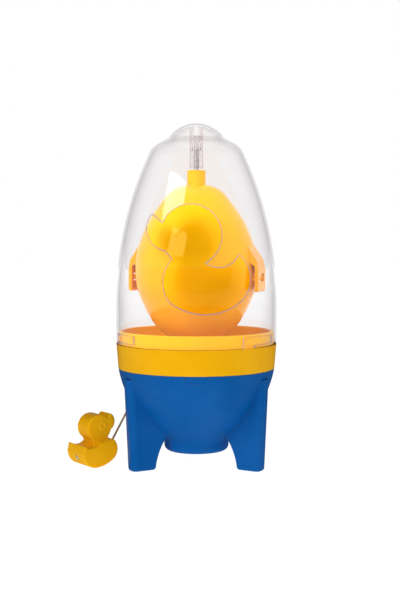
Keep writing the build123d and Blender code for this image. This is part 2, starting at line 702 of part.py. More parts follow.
with BuildPart() as top_pin:
    with BuildSketch(Plane.XY.offset(PIN_LOW_Z)):
        Circle(PIN_R)
    extrude(amount=PIN_TOP_Z - PIN_LOW_Z)
    chamfer(top_pin.edges().group_by(Axis.Z)[-1], length=0.4)
top_pin.part.label = "top_pin"
export_step(top_pin.part, "parts/top_pin.step")


def latch_arm(angle):
    """A snap arm that springs out over the lower half's nib, hanging from the upper half's side."""
    with BuildPart() as arm:
        with BuildSketch(upright_plane(angle)):
            with BuildLine():
                Polyline(
                    (HOLDER_R - 4.5, ARM_ROOT_Z - 3),
                    (HOLDER_R - 4.7, ARM_ROOT_Z),
                    (ARM_OUT_R - 1.0, ARM_SHOULDER_Z + 3.5),
                    (ARM_OUT_R, ARM_SHOULDER_Z - 2),
                    (ARM_OUT_R, ARM_LOW_Z + 1),
                    (ARM_OUT_R - 0.8, ARM_LOW_Z),
                    (ARM_IN_R, ARM_LOW_Z),
                    (ARM_IN_R, ARM_SHOULDER_Z),
                    (HOLDER_R - 3, ARM_SHOULDER_Z + 3.5),
                    close=True,
                )
            make_face()
        extrude(amount=ARM_WIDTH / 2, both=True)
        add(upper_egg(1.0), mode=Mode.SUBTRACT)
        add(lower_egg(1.0), mode=Mode.SUBTRACT)
        with BuildSketch(upright_plane(angle + 90).offset(ARM_IN_R - 2)):
            with Locations((0, (WINDOW_LOW_Z + WINDOW_TOP_Z) / 2)):
                Rectangle(WINDOW_WIDTH, WINDOW_TOP_Z - WINDOW_LOW_Z)
        extrude(amount=10, mode=Mode.SUBTRACT)
    return arm


latch_arm_right = latch_arm(ARM_ANGLE)
latch_arm_right.part.label = "latch_arm_right"
export_step(latch_arm_right.part, "parts/latch_arm_right.step")

latch_arm_left = latch_arm(ARM_ANGLE + 180)
latch_arm_left.part.label = "latch_arm_left"
export_step(latch_arm_left.part, "parts/latch_arm_left.step")

# ---------------------------------------------------------------- cover body

with BuildPart() as clear_cover:
    add(cover_form(0))
    add(cover_form(COVER_WALL), mode=Mode.SUBTRACT)
    # boss that holds the top pin, and the web behind it across the nose
    with BuildSketch(Plane.XY.offset(BOSS_LOW_Z)):
        Circle(BOSS_R)
    extrude(amount=NOSE_TOP_Z - BOSS_LOW_Z - 1)
    add(cover_web())
    with BuildSketch(Plane.XY.offset(BOSS_LOW_Z - 1)):
        Circle(PIN_R + RUNNING_CLEARANCE)
    extrude(amount=BOSS_BORE_TOP_Z - BOSS_LOW_Z + 1, mode=Mode.SUBTRACT)
    # bayonet grooves: an entry from the bottom edge, then a land to the right
    entry_start = LUG_ANGLE - GROOVE_ENTRY_ARC / 2
    with PolarLocations(0, LUG_COUNT):
        add(
            ring_sector(COVER_IN_R - 1, GROOVE_R, LEDGE_Z - 1, GROOVE_TOP_Z, entry_start, GROOVE_ENTRY_ARC),
            mode=Mode.SUBTRACT,
        )
        add(
            ring_sector(COVER_IN_R - 1, GROOVE_R, GROOVE_LOW_Z, GROOVE_TOP_Z, entry_start, GROOVE_LAND_ARC),
            mode=Mode.SUBTRACT,
        )
    before_window = clear_cover.edges()
    add(duck_window(), mode=Mode.SUBTRACT)
    # the window's rim is eased where it meets the outer face
    rim_edges = (clear_cover.edges() - before_window).filter_by(on_outer_face)
    chamfer(rim_edges, length=WINDOW_RIM)
clear_cover.part.label = "clear_cover"
export_step(clear_cover.part, "parts/clear_cover.step")

# ---------------------------------------------------------------- cord and handle

turn = radians(HANDLE_TURN)
forward = Vector(cos(turn), sin(turn), 0)
handle_foot = Vector(HANDLE_X, HANDLE_Y, 0)
handle_plane = Plane(origin=handle_foot, x_dir=forward, z_dir=(sin(turn), -cos(turn), 0))


def on_handle(u, v):
    """A point of the handle's middle plane, u towards the bill and v up."""
    return handle_foot + forward * u + Vector(0, 0, v)


# the bore runs through the duck's body from its breast to the pocket in its tail
breast_mouth = on_handle(15.6, 10.6)
tail_mouth = on_handle(-7.0, 5.0)
bore_axis = (tail_mouth - breast_mouth).normalized()
pocket_floor = tail_mouth - bore_axis * KNOT_POCKET_DEPTH

with BuildPart() as pull_handle:
    with BuildSketch(handle_plane):
        with BuildLine():
            tail_tip = (-6.0, 12.8)
            nape = (4.0, 13.6)
            breast_top = (12.3, 15.1)
            belly_front = (10.6, 2.8)
            belly_low = (1.0, 0.0)
            ThreePointArc(tail_tip, (-2.2, 11.2), nape)
            Line(nape, breast_top)
            ThreePointArc(breast_top, (14.8, 8.6), belly_front)
            ThreePointArc(belly_front, (6.4, 0.85), belly_low)
            ThreePointArc(belly_low, (-5.6, 3.6), (-7.0, 8.2))
            Line((-7.0, 8.2), tail_tip)
        make_face()
    extrude(amount=HANDLE_BODY_THICKNESS / 2, both=True)
    with BuildSketch(handle_plane):
        with Locations((5.2, 21.4)):
            Circle(HANDLE_HEAD_R)
        with BuildLine():
            Line((10.4, 26.6), (12.7, 29.1))
            ThreePointArc((12.7, 29.1), (15.2, 24.6), (12.0, 19.6))
            Line((12.0, 19.6), (8.4, 20.0))
            Line((8.4, 20.0), (10.4, 26.6))
        make_face()
        with Locations((6.0, 13.4)):
            Rectangle(9.6, 6.4)
    extrude(amount=HANDLE_HEAD_THICKNESS / 2, both=True)
    for face_side in (1, -1):
        with BuildSketch(handle_plane.offset(face_side * (HANDLE_HEAD_THICKNESS / 2 - 0.3))):
            with Locations((7.2, 22.8)):
                Circle(EYE_RING_R)
                Circle(EYE_CENTRE_R, mode=Mode.SUBTRACT)
        extrude(amount=face_side * (EYE_RELIEF + 0.3))
    with BuildSketch(Plane(origin=breast_mouth, z_dir=bore_axis).offset(-3)):
        Circle(HANDLE_BORE_R)
    extrude(amount=40, mode=Mode.SUBTRACT)
    with BuildSketch(Plane(origin=pocket_floor, z_dir=bore_axis)):
        Circle(KNOT_POCKET_R)
    extrude(amount=10, mode=Mode.SUBTRACT)
pull_handle.part.label = "pull_handle"
export_step(pull_handle.part, "parts/pull_handle.step")

with BuildPart() as handle_knot:
    with BuildSketch(Plane(origin=pocket_floor, z_dir=bore_axis)):
        Circle(KNOT_R)
    extrude(amount=KNOT_LENGTH)
    fillet(handle_knot.edges().filter_by(GeomType.CIRCLE), radius=0.7)
handle_knot.part.label = "handle_knot"
export_step(handle_knot.part, "parts/handle_knot.step")

# inside the base the cord runs straight from the drum to the eyelet's inner mouth
eyelet_inner_mouth = eyelet_seat - eyelet_axis * (EYELET_DEPTH + 0.5)
lead_reach = DRUM_HUB_R + 3 * CORD_R + 0.4
mouth_flat = Vector(eyelet_inner_mouth.X, eyelet_inner_mouth.Y, 0)
mouth_angle = radians(EYELET_ANGLE) - (pi / 2 - asin(lead_reach / mouth_flat.length))
lead_start = Vector(lead_reach * cos(mouth_angle), lead_reach * sin(mouth_angle), EYELET_Z)
lead_axis = (eyelet_inner_mouth - lead_start).normalized()
with BuildPart() as cord_lead:
    with BuildSketch(Plane(origin=lead_start, z_dir=lead_axis)):
        Circle(CORD_R)
    extrude(amount=(eyelet_inner_mouth - lead_start).length)
cord_lead.part.label = "cord_lead"
export_step(cord_lead.part, "parts/cord_lead.step")

# the free cord: out of the eyelet, over its lip, straight and tight down to the duck's breast, and
# through the duck to the knot
cord_route = [
    eyelet_inner_mouth,
    eyelet_seat + eyelet_axis * LIP_REACH,
    breast_mouth,
    pocket_floor,
]
cord_radii = [LIP_BEND_R, BREAST_BEND_R]
with BuildPart() as pull_cord:
    with BuildLine() as cord_path:
        FilletPolyline(*cord_route, radius=cord_radii)
    with BuildSketch(Plane(origin=cord_path.line @ 0, z_dir=cord_path.line % 0)):
        Circle(CORD_R)
    sweep()
pull_cord.part.label = "pull_cord"
export_step(pull_cord.part, "parts/pull_cord.step")

print("cord bend radii", cord_radii)
cord_length = sum(edge.length for edge in cord_path.line.edges())
print("free cord length", round(cord_length, 2))
print("cord volume over section times length", pull_cord.part.volume / (pi * CORD_R**2 * cord_length))
print("cord route", [tuple(round(c, 2) for c in p) for p in cord_route])
print("pull radius", DRUM_HUB_R + CORD_R)
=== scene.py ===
import math

import bmesh
import bpy
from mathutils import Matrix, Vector


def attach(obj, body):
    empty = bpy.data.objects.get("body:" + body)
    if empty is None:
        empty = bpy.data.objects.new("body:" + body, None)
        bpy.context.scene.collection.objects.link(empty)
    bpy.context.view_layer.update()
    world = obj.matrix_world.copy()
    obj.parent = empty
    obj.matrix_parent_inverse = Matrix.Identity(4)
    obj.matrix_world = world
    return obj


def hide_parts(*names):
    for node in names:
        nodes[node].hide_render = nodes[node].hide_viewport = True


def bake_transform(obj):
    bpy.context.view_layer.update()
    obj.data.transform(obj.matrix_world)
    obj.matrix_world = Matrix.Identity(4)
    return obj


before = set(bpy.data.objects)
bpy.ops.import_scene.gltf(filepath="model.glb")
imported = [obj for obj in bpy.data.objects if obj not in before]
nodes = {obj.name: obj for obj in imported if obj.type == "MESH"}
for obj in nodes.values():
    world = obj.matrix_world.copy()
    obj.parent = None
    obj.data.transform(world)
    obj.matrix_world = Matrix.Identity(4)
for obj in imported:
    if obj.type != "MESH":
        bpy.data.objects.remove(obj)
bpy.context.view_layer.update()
scene = bpy.context.scene
scene.view_settings.view_transform = "Standard"


# ---------------------------------------------------------------- camera

CAMERA_PLACE = (0.00202, -0.577, 0.1216)
CAMERA_TILT = 2.85  # degrees below level
CAMERA_LENS = 61.56
CAMERA_SENSOR = 36.0
CAMERA_NEAR = 0.01

camera_data = bpy.data.cameras.new("camera")
camera_data.lens = CAMERA_LENS
camera_data.sensor_width = CAMERA_SENSOR
camera_data.clip_start = CAMERA_NEAR
camera = bpy.data.objects.new("camera", camera_data)
camera.location = CAMERA_PLACE
camera.rotation_euler = (math.radians(90.0 - CAMERA_TILT), 0.0, 0.0)
scene.collection.objects.link(camera)
scene.camera = camera


# ---------------------------------------------------------------- materials

WHITE = (1.0, 1.0, 1.0)
NOISE_SPAN = (0.3, 0.7)  # a noise's values lie mostly between these

# sockets that go by number, because their names repeat: a Mix node's colours and a Map Range's limits
MIX_FIRST, MIX_SECOND, MIX_RESULT = 6, 7, 2
FROM_LOW, FROM_HIGH, TO_LOW, TO_HIGH = 1, 2, 3, 4


def opaque(colour):
    """A colour of three parts with full alpha."""
    return (*colour, 1.0)


class NodeMaterial:
    """A new material, its Principled shader and short ways to add the nodes used here."""

    def __init__(self, name):
        self.material = bpy.data.materials.new(name)
        self.material.use_nodes = True
        self.tree = self.material.node_tree
        self.shader = self.tree.nodes["Principled BSDF"]

    def feed(self, node, inputs):
        """Link or set each named input of a node."""
        for key, value in inputs.items():
            if isinstance(value, bpy.types.NodeSocket):
                self.tree.links.new(value, node.inputs[key])
            else:
                node.inputs[key].default_value = value

    def add(self, kind, inputs, **settings):
        """A node of this kind with these inputs and settings."""
        node = self.tree.nodes.new(kind)
        for key, value in settings.items():
            setattr(node, key, value)
        self.feed(node, inputs)
        return node

    def place(self):
        """Where on its object a point lies."""
        return self.add("ShaderNodeTexCoord", {}).outputs["Object"]

    def stretched(self, scale, rotation=(0.0, 0.0, 0.0)):
        """The place, turned and then drawn out or squashed along each axis."""
        inputs = {"Vector": self.place(), "Rotation": rotation, "Scale": scale}
        return self.add("ShaderNodeMapping", inputs).outputs["Vector"]

    def noise(self, scale, detail, where=None):
        """Cloudy noise between 0 and 1."""
        inputs = {"Vector": where or self.place(), "Scale": scale, "Detail": detail}
        return self.add("ShaderNodeTexNoise", inputs).outputs["Fac"]

    def remap(self, value, low, high, to_low=0.0, to_high=1.0, curve="LINEAR"):
        """The value carried over from one range to another, and held inside it."""
        inputs = {"Value": value, FROM_LOW: low, FROM_HIGH: high, TO_LOW: to_low, TO_HIGH: to_high}
        return self.add("ShaderNodeMapRange", inputs, interpolation_type=curve).outputs["Result"]

    def mix(self, factor, first, second):
        """The first colour, passing into the second as the factor grows."""
        inputs = {"Factor": factor, MIX_FIRST: first, MIX_SECOND: second}
        return self.add("ShaderNodeMix", inputs, data_type="RGBA").outputs[MIX_RESULT]

    def calculate(self, operation, first, second):
        """Two values added or multiplied, and held between 0 and 1."""
        pair = {0: first, 1: second}
        return self.add("ShaderNodeMath", pair, operation=operation, use_clamp=True).outputs["Value"]

    def scratches(self, rotation, scale, low, high, strength):
        """Fine scratches, from noise drawn out along one direction."""
        drawn_out = self.noise(1.0, 2.0, self.stretched(scale, rotation))
        return self.remap(drawn_out, low, high, 0.0, strength)

    def bump(self, height, strength, distance, normal=None, **settings):
        """Link a bump of this height to the shader."""
        inputs = {"Strength": strength, "Distance": distance, "Height": height}
        if normal:
            inputs["Normal"] = normal
        relief = self.add("ShaderNodeBump", inputs, **settings).outputs["Normal"]
        self.feed(self.shader, {"Normal": relief})

    def rounded_normal(self, radius, samples):
        """The normal as it would be with edges rounded to this radius."""
        return self.add("ShaderNodeBevel", {"Radius": radius}, samples=samples).outputs["Normal"]

    def edge_wear_and_highlight(self, radius):
        """1 on convex edges and corners, 0 on flats, from how far the rounded normal leaves the true one."""
        true_normal = self.add("ShaderNodeNewGeometry", {}).outputs["Normal"]
        pair = {0: self.rounded_normal(radius, samples=6), 1: true_normal}
        likeness = self.add("ShaderNodeVectorMath", pair, operation="DOT_PRODUCT").outputs["Value"]
        return self.remap(likeness, 0.995, 0.86)


def plastic(name, colour, roughness, gloss=0.3, gloss_tint=WHITE, peel=0.04, sss=0.0, rounding=0.0):
    """Moulded plastic: soft colour drift, orange peel, fine handling scratches, and paler edges that are
    partly rubbed and partly a painted highlight.
    """
    drift_share = 0.06
    wear_and_highlight_share = 0.25
    deep = opaque(c * (1.0 - drift_share) for c in colour)
    light = opaque(min(1.0, c * (1.0 + drift_share) + 0.1 * drift_share) for c in colour)
    pale = opaque(min(1.0, 0.72 * c + 0.25) for c in colour)
    made = NodeMaterial(name)
    drift = made.noise(scale=38.0, detail=3.0)
    fleck = made.noise(scale=900.0, detail=2.0)
    clean = made.mix(made.remap(drift, *NOISE_SPAN), deep, light)
    flecked = made.mix(made.remap(fleck, 0.35, 0.65, 0.0, 0.10), clean, deep)
    ragged = made.noise(scale=420.0, detail=4.0)
    # paler convex edges, broken up by noise: partly rubbing of the plastic, partly a painted highlight where
    # the edges catch the light
    wear_and_highlight = made.calculate("MULTIPLY", made.edge_wear_and_highlight(radius=0.0006), ragged)
    worn_and_highlit = made.mix(made.calculate("MULTIPLY", wear_and_highlight, wear_and_highlight_share), flecked, pale)
    smudge = made.remap(drift, *NOISE_SPAN, roughness, roughness + 0.05)
    scratch = made.scratches((0.4, 0.3, 0.9), (2600.0, 160.0, 160.0), low=0.60, high=0.78, strength=0.10)
    under = made.rounded_normal(rounding, samples=8) if rounding else None
    made.bump(made.noise(scale=260.0, detail=3.0), strength=peel, distance=0.0006, normal=under)
    made.feed(made.shader, {
        "Base Color": worn_and_highlit,
        "Roughness": made.calculate("ADD", smudge, scratch),
        "IOR": 1.5,
        "Specular IOR Level": gloss,
        "Specular Tint": opaque(gloss_tint),
        "Subsurface Weight": sss,
        "Subsurface Radius": (1.0, 0.55, 0.15),
        "Subsurface Scale": 0.003,
    })
    return made.material


def clear(name, near, edge, roughness, transmission, ior, gloss):
    """Clear moulded plastic, greyed towards its grazing edges as painted shade, with a faint cloud and
    hairline scratches.
    """
    made = NodeMaterial(name)
    cloud = made.noise(scale=60.0, detail=3.0)
    haze = made.remap(cloud, *NOISE_SPAN, roughness, roughness + 0.02)
    scratch = made.scratches((0.2, 0.5, 0.7), (2200.0, 90.0, 90.0), low=0.66, high=0.80, strength=0.06)
    # painted shade: the colour passes from near to edge as the surface turns away from view
    facing = made.add("ShaderNodeLayerWeight", {"Blend": 0.5}).outputs["Facing"]
    grazing = made.remap(facing, 0.35, 0.95, curve="SMOOTHSTEP")
    # gloss and refraction fade towards the rim, where a thin wall would sparkle
    made.feed(made.shader, {
        "Base Color": made.mix(grazing, opaque(near), opaque(edge)),
        "Roughness": made.calculate("ADD", haze, scratch),
        "IOR": made.remap(facing, 0.55, 0.85, ior, 1.0, curve="SMOOTHSTEP"),
        "Transmission Weight": transmission,
        "Coat Weight": made.remap(facing, 0.70, 0.92, gloss, 0.1 * gloss, curve="SMOOTHSTEP"),
        "Coat IOR": 1.49,
        "Coat Roughness": 0.015,
    })
    return made.material


def metal(name, colour, roughness):
    """Turned and polished metal with fine rings of tool marks."""
    made = NodeMaterial(name)
    dark = opaque(0.8 * c for c in colour)
    rings = made.noise(scale=1.0, detail=3.0, where=made.stretched((60.0, 60.0, 4000.0)))
    made.bump(rings, strength=0.08, distance=0.0002)
    made.feed(made.shader, {
        "Base Color": made.mix(made.remap(rings, *NOISE_SPAN), dark, opaque(colour)),
        "Roughness": made.remap(rings, *NOISE_SPAN, roughness, roughness + 0.12),
        "Metallic": 1.0,
    })
    return made.material


def braid(name, colour):
    """Tight round braid: small raised yarns, with painted shade in the gaps between them and patches of dirt.
    """
    dark = opaque(0.5 * c for c in colour)
    made = NodeMaterial(name)
    cells = made.add("ShaderNodeTexVoronoi", {"Vector": made.place(), "Scale": 2600.0}, feature="F1")
    gap = made.remap(cells.outputs["Distance"], 0.15, 0.7)
    grime = made.remap(made.noise(scale=300.0, detail=3.0), 0.4, 0.7, 0.0, 0.3)
    made.bump(gap, strength=0.6, distance=0.0003, invert=True)
    made.feed(made.shader, {
        # the gaps between the yarns are painted darker as shade; the grime noise adds patches of dirt on top
        "Base Color": made.mix(grime, made.mix(gap, opaque(colour), dark), dark),
        "Roughness": 0.85,
        "Sheen Weight": 0.3,
    })
    return made.material


gold = (1.0, 0.78, 0.18)
sky = (0.15, 0.50, 1.0)
blue = plastic("blue_plastic", (0.001, 0.102, 0.38), 0.25, gloss=0.4, gloss_tint=sky, peel=0.02)
tray_yellow = plastic("tray_yellow", (0.98, 0.48, 0.0), 0.25, gloss=0.35, gloss_tint=gold, peel=0.02)
holder_yellow = plastic(
    "holder_yellow", (0.95, 0.44, 0.0), 0.08, gloss=0.5, gloss_tint=gold, peel=0.02, sss=0.1
)
# the holder's own yellow made a little more orange and less glossy: painted shade for the lower half and the
# latch arms, which sit low in the tray
holder_shaded = plastic("holder_shaded", (0.95, 0.40, 0.0), 0.08, gloss=0.45, gloss_tint=gold, peel=0.02, sss=0.1)
handle_yellow = plastic(
    "handle_yellow", (0.98, 0.46, 0.0), 0.38, gloss=0.25, gloss_tint=gold, sss=0.3, rounding=0.0008
)
silicone = plastic("silicone", (0.86, 0.82, 0.72), 0.5, sss=0.3)
nylon = plastic("nylon", (0.80, 0.78, 0.72), 0.4)
acetal = plastic("acetal", (0.55, 0.55, 0.54), 0.38)
steel = metal("steel", (0.62, 0.62, 0.63), 0.18)
zinc = metal("zinc", (0.58, 0.60, 0.62), 0.28)
cord_braid = braid("cord_braid", (0.80, 0.64, 0.42))
clear_plastic = clear(
    "clear_plastic", near=(0.966, 0.958, 0.960), edge=(0.83, 0.805, 0.815),
    roughness=0.01, transmission=1.0, ior=1.04, gloss=1.0,
)
# painted shade: the cover's cut faces get a lilac grey that lets little light through, so the window, grooves
# and skirt edge read as dark lines
shaded_cut_face = clear(
    "shaded_cut_face", near=(0.50, 0.40, 0.47), edge=(0.34, 0.26, 0.32),
    roughness=0.3, transmission=0.15, ior=1.3, gloss=0.6,
)
boss_plastic = clear(
    "boss_plastic", near=(0.86, 0.82, 0.84), edge=(0.62, 0.57, 0.60),
    roughness=0.05, transmission=0.95, ior=1.25, gloss=0.6,
)

finishes = (
    (blue, ("base_shell",)),
    (tray_yellow, ("collar_tray",)),
    (holder_yellow, ("holder_top",)),
    # the lower half and latch arms take the painted-shade copy of the holder's yellow
    (holder_shaded, ("holder_bottom", "latch_arm_left", "latch_arm_right")),
    (handle_yellow, ("pull_handle",)),
    (clear_plastic, ("clear_cover",)),
    (silicone, ("liner_bottom", "liner_top")),
    (nylon, ("lower_bush", "upper_bush", "cord_eyelet")),
    (acetal, ("cord_drum", "drum_cap", "drive_coupler")),
    (steel, ("thrust_disc", "spindle", "lower_washer", "upper_washer", "retaining_clip", "top_pin")),
    (zinc, ("case_screws",)),
    (cord_braid, ("cord_lead", "pull_cord", "cord_winding", "anchor_knot", "handle_knot")),
)
for finish, names in finishes:
    for name in names:
        mesh = nodes[name].data
        mesh.materials.clear()
        mesh.materials.append(finish)


# ---------------------------------------------------------------- duck handle

HANDLE_VOXEL = 0.0003
HANDLE_SMOOTHING = 0.5
HANDLE_SMOOTHING_ROUNDS = 14

# the duck's edges are well rounded: its mesh is rebuilt fine and evenly, and relaxed
handle = nodes["pull_handle"]
even = handle.modifiers.new("even", "REMESH")
even.mode = "VOXEL"
even.voxel_size = HANDLE_VOXEL
even.use_smooth_shade = True
relax = handle.modifiers.new("relax", "SMOOTH")
relax.factor = HANDLE_SMOOTHING
relax.iterations = HANDLE_SMOOTHING_ROUNDS


# ---------------------------------------------------------------- mesh helpers


def turned(radius, angle, z):
    """The point at this radius, angle and height."""
    return (radius * math.cos(angle), radius * math.sin(angle), z)


def full_turn(sides):
    """Angles evenly round a circle."""
    return [2 * math.pi * k / sides for k in range(sides)]


def join_rings(form, rings):
    """Faces between each ring of vertices and the next, where a ring of one vertex is a tip."""
    for first, second in zip(rings, rings[1:]):
        sides = max(len(first), len(second))
        for k in range(sides):
            follow = (k + 1) % sides
            corners = [first[k % len(first)], second[k % len(second)]]
            corners += [second[follow % len(second)], first[follow % len(first)]]
            form.faces.new(list(dict.fromkeys(corners)))


def mesh_object(name, form):
    """A linked object from a bmesh, its normals pointing out."""
    bmesh.ops.recalc_face_normals(form, faces=form.faces)
    mesh = bpy.data.meshes.new(name)
    form.to_mesh(mesh)
    form.free()
    made = bpy.data.objects.new(name, mesh)
    scene.collection.objects.link(made)
    return made


def spun(name, profile, sides):
    """A closed mesh: a profile of radius and height, from the Z axis back to it, turned about it."""
    form = bmesh.new()
    rings = []
    for radius, z in profile:
        angles = full_turn(sides) if radius > 0 else [0.0]
        rings.append([form.verts.new(turned(radius, angle, z)) for angle in angles])
    join_rings(form, rings)
    return mesh_object(name, form)


def prism(name, layers):
    """A closed mesh through layers of points, capped at both ends."""
    form = bmesh.new()
    rings = [[form.verts.new(point) for point in layer] for layer in layers]
    join_rings(form, rings)
    form.faces.new(rings[0])
    form.faces.new(rings[-1])
    return mesh_object(name, form)


def combine(body, tool, operation):
    """Join the tool to the body, or cut it out of it, and keep the tool's material on the faces it makes."""
    modifier = body.modifiers.new("combine", "BOOLEAN")
    modifier.operation = operation
    modifier.solver = "EXACT"
    modifier.material_mode = "TRANSFER"
    modifier.object = tool
    bpy.context.view_layer.update()
    mesh = bpy.data.meshes.new_from_object(body.evaluated_get(bpy.context.evaluated_depsgraph_get()))
    body.modifiers.clear()
    body.data = mesh
    bpy.data.objects.remove(tool)


def arc_through(first, middle, last, steps):
    """Points along the circle through three points, without the first."""
    (ax, ay), (bx, by), (cx, cy) = first, middle, last
    d = 2 * (ax * (by - cy) + bx * (cy - ay) + cx * (ay - by))
    a2, b2, c2 = ax * ax + ay * ay, bx * bx + by * by, cx * cx + cy * cy
    ux = (a2 * (by - cy) + b2 * (cy - ay) + c2 * (ay - by)) / d
    uy = (a2 * (cx - bx) + b2 * (ax - cx) + c2 * (bx - ax)) / d
    radius = math.hypot(ax - ux, ay - uy)
    begin = math.atan2(ay - uy, ax - ux)
    mid = (math.atan2(by - uy, bx - ux) - begin) % (2 * math.pi)
    end = (math.atan2(cy - uy, cx - ux) - begin) % (2 * math.pi)
    sweep = end if mid < end else end - 2 * math.pi
    turns = [begin + sweep * step / steps for step in range(1, steps + 1)]
    return [(ux + radius * math.cos(t), uy + radius * math.sin(t)) for t in turns]


# ---------------------------------------------------------------- clear cover

WALL = 0.00195
SKIRT_LOW_Z = 0.0686
SIDE_START_Z = 0.092  # the side is upright below this height and an arc above it
BODY_R = 0.045
SIDE_ARC_R = 0.1928
SHOULDER_Z = 0.1784
SHOULDER_FILLET = 0.0093
NOSE_BASE = (0.0158, 0.18315)
NOSE_TOP_Z = 0.1915
COVER_SIDES = 480
SHARP_ANGLE = 24  # degrees
TOLERANCE = 0.00001

NOSE_STEPS, SLOPE_STEPS, SHOULDER_STEPS, SIDE_STEPS, SKIRT_STEPS = 12, 6, 10, 44, 10

BOSS_R = 0.0037
BOSS_LOW_Z, BOSS_TOP_Z = 0.1668, 0.1905
BORE_R = 0.00155
BORE_LOW_Z, BORE_TOP_Z = 0.1658, 0.1840
ROD_SIDES = 64
WEB_HALF_THICKNESS = 0.001
WEB_REACH = 0.017
WEB_LOW_Z = 0.1758

GROOVES = 3
GROOVE_START = -55  # degrees from +X
GROOVE_SPAN = 35  # degrees, with a face to each degree
GROOVE_ENTRY = 11  # degrees that are open to the skirt's edge
GROOVE_ENTRY_Z = 0.0676  # just past the skirt's edge
GROOVE_LOW_Z, GROOVE_TOP_Z = 0.0702, 0.0746
GROOVE_INNER_R, GROOVE_OUTER_R = 0.042, 0.044

WINDOW_EASE = 0.0006
WINDOW_EASE_DEPTH = 0.0005
WINDOW_PAST_FACE = 0.0001
WINDOW_BACK_Y, WINDOW_FRONT_Y = -0.020, -0.060


def side_radius(z, inset=0.0):
    """The radius of the arc side at a height, drawn in by inset."""
    return BODY_R - SIDE_ARC_R + math.sqrt((SIDE_ARC_R - inset) ** 2 - (z - SIDE_START_Z) ** 2)


def shoulder_arc(nose_base, inset):
    """Points round the shoulder, from the slope under the nose to the side."""
    top_z = SHOULDER_Z - inset
    corner = Vector((side_radius(top_z, inset), top_z))
    radius = SHOULDER_FILLET - inset / 2
    slope = (nose_base - corner).normalized()
    flank = Vector((top_z - SIDE_START_Z, BODY_R - SIDE_ARC_R - corner.x)).normalized()
    half = math.acos(slope.dot(flank)) / 2
    reach = radius / math.tan(half)
    middle = corner + (slope + flank).normalized() * (radius / math.sin(half))
    first = corner + slope * reach - middle
    last = corner + flank * reach - middle
    start = math.atan2(first.y, first.x)
    sweep = math.atan2(last.y, last.x) - start
    turns = [start + sweep * step / SHOULDER_STEPS for step in range(SHOULDER_STEPS + 1)]
    return [middle + radius * Vector((math.cos(t), math.sin(t))) for t in turns]


def cover_profile(inset):
    """Points (radius, height) down one face of the cover, from the nose to the skirt, drawn in by inset."""
    nose_base = Vector((NOSE_BASE[0] - inset, NOSE_BASE[1] - inset))
    rise = NOSE_TOP_Z - inset - nose_base.y
    nose_r = (nose_base.x**2 + rise**2) / (2 * rise)
    shoulder = shoulder_arc(nose_base, inset)
    low = shoulder[-1].y
    points = []
    for step in range(NOSE_STEPS + 1):
        x = nose_base.x * step / NOSE_STEPS
        points.append((x, NOSE_TOP_Z - inset - nose_r + math.sqrt(nose_r**2 - x**2)))
    points += [tuple(nose_base.lerp(shoulder[0], step / SLOPE_STEPS)) for step in range(1, SLOPE_STEPS)]
    points += [tuple(point) for point in shoulder]
    for step in range(1, SIDE_STEPS + 1):
        z = low + (SIDE_START_Z - low) * step / SIDE_STEPS
        points.append((side_radius(z, inset), z))
    for step in range(1, SKIRT_STEPS + 1):
        points.append((BODY_R - inset, SIDE_START_Z + (SKIRT_LOW_Z - SIDE_START_Z) * step / SKIRT_STEPS))
    return points


def cover_shell():
    """The dome's wall, with its edge at the bottom in the cut faces' material of painted shade."""
    profile = cover_profile(0.0) + list(reversed(cover_profile(WALL)))
    shell = spun("cover_shell", profile, COVER_SIDES)
    shell.data.materials.append(clear_plastic)
    shell.data.materials.append(shaded_cut_face)
    for face in shell.data.polygons:
        face.material_index = 1 if abs(face.center.z - SKIRT_LOW_Z) < TOLERANCE else 0
    return shell


def rod(name, radius, low_z, top_z):
    """An upright cylinder on the Z axis."""
    made = spun(name, [(0.0, low_z), (radius, low_z), (radius, top_z), (0.0, top_z)], ROD_SIDES)
    made.data.materials.append(boss_plastic)
    return made


def web_plate():
    """The upright plate across the nose, from the middle of one wall to the middle of the other."""
    border = [point for point in cover_profile(WALL / 2) if 0 < point[0] < WEB_REACH]
    border.append((border[-1][0], SHOULDER_Z))
    left = [(-y, z) for y, z in reversed(border)]
    outline = [(0.0, NOSE_TOP_Z - WALL / 2)] + border + [(0.0, WEB_LOW_Z)] + left
    sides = (-WEB_HALF_THICKNESS, WEB_HALF_THICKNESS)
    made = prism("web_plate", [[(x, y, z) for y, z in outline] for x in sides])
    made.data.materials.append(boss_plastic)
    return made


def groove_cutter():
    """The three L-shaped bayonet grooves, as shallow blocks sunk into the cover's inner face."""
    form = bmesh.new()
    heights = (GROOVE_ENTRY_Z, GROOVE_LOW_Z, GROOVE_TOP_Z)
    for copy in range(GROOVES):
        grid = {}
        for step in range(GROOVE_SPAN + 1):
            angle = math.radians(GROOVE_START + step + 360.0 / GROOVES * copy)
            for row, z in enumerate(heights):
                if row > 0 or step <= GROOVE_ENTRY:
                    grid[step, row] = form.verts.new(turned(GROOVE_INNER_R, angle, z))
        cells = [(step, 1) for step in range(GROOVE_SPAN)] + [(step, 0) for step in range(GROOVE_ENTRY)]
        faces = []
        for step, row in cells:
            corners = (grid[step, row], grid[step + 1, row], grid[step + 1, row + 1], grid[step, row + 1])
            faces.append(form.faces.new(corners))
        made = bmesh.ops.extrude_face_region(form, geom=faces)["geom"]
        for vert in (item for item in made if isinstance(item, bmesh.types.BMVert)):
            vert.co.xy *= GROOVE_OUTER_R / GROOVE_INNER_R
    for face in form.faces:
        radii = [vert.co.xy.length for vert in face.verts]
        face.material_index = 0 if max(radii) - min(radii) < TOLERANCE else 1
    made = mesh_object("groove_cutter", form)
    made.data.materials.append(clear_plastic)
    made.data.materials.append(shaded_cut_face)
    return made


